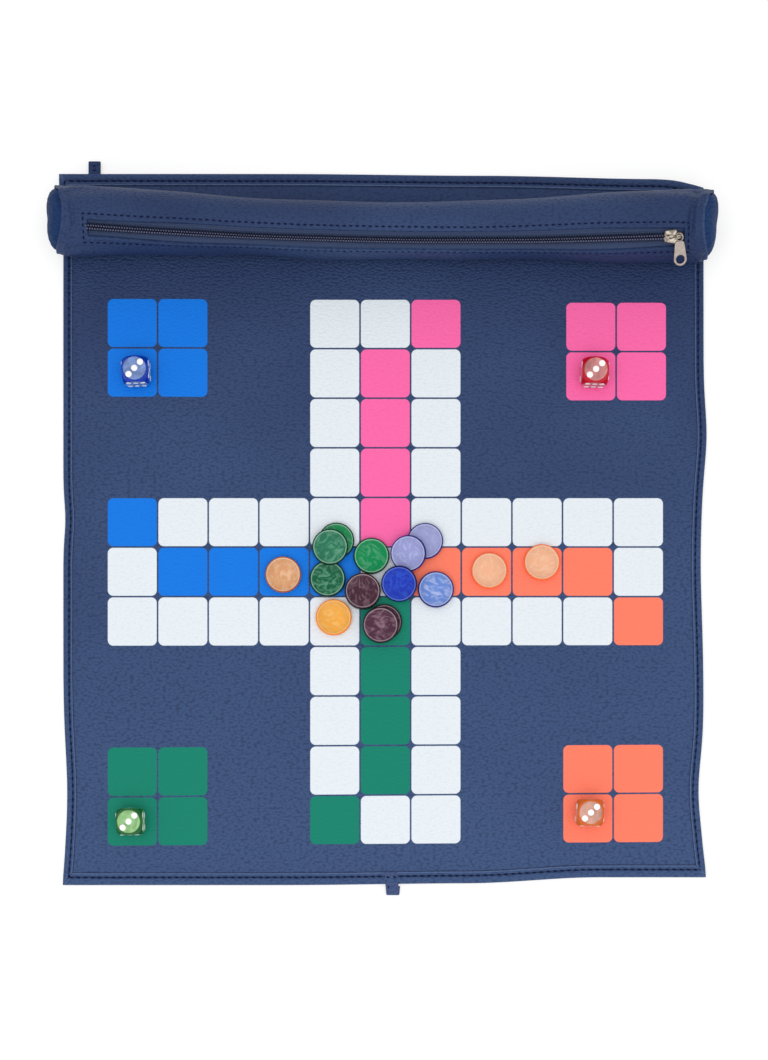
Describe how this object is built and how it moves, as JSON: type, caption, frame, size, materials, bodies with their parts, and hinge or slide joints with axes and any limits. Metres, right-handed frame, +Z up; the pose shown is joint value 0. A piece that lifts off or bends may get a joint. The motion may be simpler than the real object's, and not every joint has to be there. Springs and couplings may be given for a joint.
{
  "type": "roll-up ludo game mat",
  "caption": "Leather ludo mat with a zipped tube pouch along one edge, translucent dice and marbled counters; both ends roll up.",
  "frame": {"origin": "middle of the whole object on the surface it lies on", "axes": "+X to the right along the pouch, +Y across the mat towards the pouch, +Z up"},
  "size_m": [0.398, 0.441, 0.0409],
  "materials": {
    "navy_leather": "fine pebble grain, semi-matt, printed with plain squares",
    "trim_leather": "fine pebble grain, semi-matt",
    "zip_tape": "woven polyester tape",
    "zip_coil": "nylon coil",
    "zip_metal": "nickel plated, soft satin",
    "die_blue": "cast translucent resin with white pips",
    "die_red": "cast translucent resin with white pips",
    "die_green": "cast translucent resin with white pips",
    "die_orange": "cast translucent resin with white pips",
    "counter_green": "marbled translucent resin",
    "counter_blue": "marbled translucent resin",
    "counter_purple": "marbled translucent resin",
    "counter_orange": "marbled translucent resin"
  },
  "bodies": {
    "board": {"mat_centre": "navy_leather"},
    "mat_top_1": {"mat_top_1": "navy_leather"},
    "mat_top_2": {"mat_top_2": "navy_leather"},
    "mat_top_3": {"mat_top_3": "navy_leather"},
    "mat_top_4": {"mat_top_4": "navy_leather"},
    "mat_top_5": {"mat_top_5": "navy_leather"},
    "mat_top_6": {"mat_top_6": "navy_leather"},
    "mat_top_7": {"mat_top_7": "navy_leather"},
    "pouch": {"mat_under_pouch": "navy_leather", "pouch_shell": "navy_leather", "pouch_cap_left": "navy_leather", "pouch_cap_right": "navy_leather", "zip_tape_upper": "zip_tape", "zip_tape_lower": "zip_tape", "zip_coil_upper": "zip_coil", "zip_coil_lower": "zip_coil", "zip_stop_left": "zip_metal", "zip_stop_right": "zip_metal"},
    "mat_top_edge": {"mat_top_edge": "navy_leather", "hanging_tab": "trim_leather"},
    "mat_bottom_1": {"mat_bottom_1": "navy_leather"},
    "mat_bottom_2": {"mat_bottom_2": "navy_leather"},
    "mat_bottom_3": {"mat_bottom_3": "navy_leather"},
    "mat_bottom_4": {"mat_bottom_4": "navy_leather"},
    "mat_bottom_5": {"mat_bottom_5": "navy_leather"},
    "mat_bottom_6": {"mat_bottom_6": "navy_leather"},
    "mat_bottom_7": {"mat_bottom_7": "navy_leather"},
    "mat_bottom_8": {"mat_bottom_8": "navy_leather", "closing_loop": "trim_leather"},
    "zip_slider": {"zip_slider": "zip_metal"},
    "pull_tab": {"pull_tab": "zip_metal"},
    "die_blue": {"die_blue": "die_blue"},
    "die_red": {"die_red": "die_red"},
    "die_green": {"die_green": "die_green"},
    "die_orange": {"die_orange": "die_orange"},
    "counter_green_1": {"counter_green_1": "counter_green"},
    "counter_green_2": {"counter_green_2": "counter_green"},
    "counter_green_3": {"counter_green_3": "counter_green"},
    "counter_green_4": {"counter_green_4": "counter_green"},
    "counter_blue_1": {"counter_blue_1": "counter_blue"},
    "counter_blue_2": {"counter_blue_2": "counter_blue"},
    "counter_blue_3": {"counter_blue_3": "counter_blue"},
    "counter_blue_4": {"counter_blue_4": "counter_blue"},
    "counter_purple_1": {"counter_purple_1": "counter_purple"},
    "counter_purple_2": {"counter_purple_2": "counter_purple"},
    "counter_purple_3": {"counter_purple_3": "counter_purple"},
    "counter_purple_4": {"counter_purple_4": "counter_purple"},
    "counter_orange_1": {"counter_orange_1": "counter_orange"},
    "counter_orange_2": {"counter_orange_2": "counter_orange"},
    "counter_orange_3": {"counter_orange_3": "counter_orange"},
    "counter_orange_4": {"counter_orange_4": "counter_orange"}
  },
  "joints": [
    {"name": "board_top_roll", "type": "hinge", "parent": "board", "child": "mat_top_1", "pos_m": [0, 0.0478, 0.0024], "axis": [1, 0, 0], "range_deg": [0, 24.3]},
    {"name": "roll_top_2", "type": "hinge", "parent": "mat_top_1", "child": "mat_top_2", "pos_m": [0, 0.06268, 0.0024], "axis": [1, 0, 0], "range_deg": [0, 24.7]},
    {"name": "roll_top_3", "type": "hinge", "parent": "mat_top_2", "child": "mat_top_3", "pos_m": [0, 0.07756, 0.0024], "axis": [1, 0, 0], "range_deg": [0, 25]},
    {"name": "roll_top_4", "type": "hinge", "parent": "mat_top_3", "child": "mat_top_4", "pos_m": [0, 0.09244, 0.0024], "axis": [1, 0, 0], "range_deg": [0, 25.4]},
    {"name": "roll_top_5", "type": "hinge", "parent": "mat_top_4", "child": "mat_top_5", "pos_m": [0, 0.10732, 0.0024], "axis": [1, 0, 0], "range_deg": [0, 25.8]},
    {"name": "roll_top_6", "type": "hinge", "parent": "mat_top_5", "child": "mat_top_6", "pos_m": [0, 0.1222, 0.0024], "axis": [1, 0, 0], "range_deg": [0, 26.3]},
    {"name": "roll_top_7", "type": "hinge", "parent": "mat_top_6", "child": "mat_top_7", "pos_m": [0, 0.13718, 0.0024], "axis": [1, 0, 0], "range_deg": [0, 23]},
    {"name": "roll_top_8", "type": "hinge", "parent": "mat_top_7", "child": "pouch", "pos_m": [0, 0.15, 0.0024], "axis": [1, 0, 0], "range_deg": [0, 54]},
    {"name": "roll_top_edge", "type": "hinge", "parent": "pouch", "child": "mat_top_edge", "pos_m": [0, 0.192, 0.0024], "axis": [1, 0, 0], "range_deg": [0, 54]},
    {"name": "board_bottom_roll", "type": "hinge", "parent": "board", "child": "mat_bottom_1", "pos_m": [0, -0.1009, 0.0024], "axis": [-1, 0, 0], "range_deg": [0, 27]},
    {"name": "roll_bottom_2", "type": "hinge", "parent": "mat_bottom_1", "child": "mat_bottom_2", "pos_m": [0, -0.11578, 0.0024], "axis": [-1, 0, 0], "range_deg": [0, 28]},
    {"name": "roll_bottom_3", "type": "hinge", "parent": "mat_bottom_2", "child": "mat_bottom_3", "pos_m": [0, -0.13066, 0.0024], "axis": [-1, 0, 0], "range_deg": [0, 29]},
    {"name": "roll_bottom_4", "type": "hinge", "parent": "mat_bottom_3", "child": "mat_bottom_4", "pos_m": [0, -0.14554, 0.0024], "axis": [-1, 0, 0], "range_deg": [0, 30]},
    {"name": "roll_bottom_5", "type": "hinge", "parent": "mat_bottom_4", "child": "mat_bottom_5", "pos_m": [0, -0.16042, 0.0024], "axis": [-1, 0, 0], "range_deg": [0, 31]},
    {"name": "roll_bottom_6", "type": "hinge", "parent": "mat_bottom_5", "child": "mat_bottom_6", "pos_m": [0, -0.1753, 0.0024], "axis": [-1, 0, 0], "range_deg": [0, 32]},
    {"name": "roll_bottom_7", "type": "hinge", "parent": "mat_bottom_6", "child": "mat_bottom_7", "pos_m": [0, -0.19018, 0.0024], "axis": [-1, 0, 0], "range_deg": [0, 29]},
    {"name": "roll_bottom_8", "type": "hinge", "parent": "mat_bottom_7", "child": "mat_bottom_8", "pos_m": [0, -0.2023, 0.0024], "axis": [-1, 0, 0], "range_deg": [0, 30]},
    {"name": "closure_zip_slide", "type": "slide", "parent": "pouch", "child": "zip_slider", "axis": [0.9999, -0.0146, -0.0059], "range_m": [-0.332, 0]},
    {"name": "closure_pull_swing", "type": "hinge", "parent": "zip_slider", "child": "pull_tab", "pos_m": [0.16848, 0.16231, 0.03931], "axis": [-0.9999, 0.0146, 0.0059], "range_deg": [0, 195]},
    {"name": "draw_die_blue", "type": "slide", "parent": "mat_top_3", "child": "die_blue", "axis": [-0.9968, 0, 0.0799], "range_m": [0, 0.15]},
    {"name": "draw_die_red", "type": "slide", "parent": "mat_top_3", "child": "die_red", "axis": [0.9968, 0, 0.0799], "range_m": [0, 0.15]},
    {"name": "draw_die_green", "type": "slide", "parent": "mat_bottom_6", "child": "die_green", "axis": [-0.9968, 0, 0.0799], "range_m": [0, 0.15]},
    {"name": "draw_die_orange", "type": "slide", "parent": "mat_bottom_5", "child": "die_orange", "axis": [0.9968, 0, 0.0799], "range_m": [0, 0.15]},
    {"name": "lift_counter_green_1", "type": "slide", "parent": "board", "child": "counter_green_1", "axis": [0, 0, 1], "range_m": [0, 0.025]},
    {"name": "lift_counter_green_2", "type": "slide", "parent": "counter_green_1", "child": "counter_green_2", "axis": [0, 0, 1], "range_m": [0, 0.025]},
    {"name": "lift_counter_green_3", "type": "slide", "parent": "board", "child": "counter_green_3", "axis": [0, 0, 1], "range_m": [0, 0.025]},
    {"name": "lift_counter_green_4", "type": "slide", "parent": "board", "child": "counter_green_4", "axis": [0, 0, 1], "range_m": [0, 0.025]},
    {"name": "lift_counter_blue_1", "type": "slide", "parent": "board", "child": "counter_blue_1", "axis": [0, 0, 1], "range_m": [0, 0.025]},
    {"name": "lift_counter_blue_2", "type": "slide", "parent": "counter_blue_1", "child": "counter_blue_2", "axis": [0, 0, 1], "range_m": [0, 0.025]},
    {"name": "lift_counter_blue_3", "type": "slide", "parent": "counter_blue_2", "child": "counter_blue_3", "axis": [0, 0, 1], "range_m": [0, 0.025]},
    {"name": "lift_counter_blue_4", "type": "slide", "parent": "board", "child": "counter_blue_4", "axis": [0, 0, 1], "range_m": [0, 0.025]},
    {"name": "lift_counter_purple_1", "type": "slide", "parent": "board", "child": "counter_purple_1", "axis": [0, 0, 1], "range_m": [0, 0.025]},
    {"name": "lift_counter_purple_2", "type": "slide", "parent": "counter_purple_1", "child": "counter_purple_2", "axis": [0, 0, 1], "range_m": [0, 0.025]},
    {"name": "lift_counter_purple_3", "type": "slide", "parent": "board", "child": "counter_purple_3", "axis": [0, 0, 1], "range_m": [0, 0.025]},
    {"name": "lift_counter_purple_4", "type": "slide", "parent": "counter_purple_3", "child": "counter_purple_4", "axis": [0, 0, 1], "range_m": [0, 0.025]},
    {"name": "lift_counter_orange_1", "type": "slide", "parent": "board", "child": "counter_orange_1", "axis": [0, 0, 1], "range_m": [0, 0.025]},
    {"name": "lift_counter_orange_2", "type": "slide", "parent": "board", "child": "counter_orange_2", "axis": [0, 0, 1], "range_m": [0, 0.025]},
    {"name": "lift_counter_orange_3", "type": "slide", "parent": "board", "child": "counter_orange_3", "axis": [0, 0, 1], "range_m": [0, 0.025]},
    {"name": "lift_counter_orange_4", "type": "slide", "parent": "board", "child": "counter_orange_4", "axis": [0, 0, 1], "range_m": [0, 0.025]}
  ],
  "couplings": [
    {"joint": "roll_top_2", "follows": "board_top_roll", "ratio": 1.0165},
    {"joint": "roll_top_3", "follows": "board_top_roll", "ratio": 1.0288},
    {"joint": "roll_top_4", "follows": "board_top_roll", "ratio": 1.0453},
    {"joint": "roll_top_5", "follows": "board_top_roll", "ratio": 1.0617},
    {"joint": "roll_top_6", "follows": "board_top_roll", "ratio": 1.0823},
    {"joint": "roll_top_7", "follows": "board_top_roll", "ratio": 0.9465},
    {"joint": "roll_top_8", "follows": "board_top_roll", "ratio": 2.2222},
    {"joint": "roll_top_edge", "follows": "board_top_roll", "ratio": 2.2222},
    {"joint": "roll_bottom_2", "follows": "board_bottom_roll", "ratio": 1.037},
    {"joint": "roll_bottom_3", "follows": "board_bottom_roll", "ratio": 1.0741},
    {"joint": "roll_bottom_4", "follows": "board_bottom_roll", "ratio": 1.1111},
    {"joint": "roll_bottom_5", "follows": "board_bottom_roll", "ratio": 1.1481},
    {"joint": "roll_bottom_6", "follows": "board_bottom_roll", "ratio": 1.1852},
    {"joint": "roll_bottom_7", "follows": "board_bottom_roll", "ratio": 1.0741},
    {"joint": "roll_bottom_8", "follows": "board_bottom_roll", "ratio": 1.1111},
    {"joint": "draw_die_blue", "follows": "board_top_roll", "m_per_rad": 0.35368},
    {"joint": "draw_die_red", "follows": "board_top_roll", "m_per_rad": 0.35368},
    {"joint": "draw_die_green", "follows": "board_bottom_roll", "m_per_rad": 0.31831},
    {"joint": "draw_die_orange", "follows": "board_bottom_roll", "m_per_rad": 0.31831},
    {"joint": "lift_counter_green_3", "follows": "lift_counter_green_1", "ratio": 1}
  ]
}
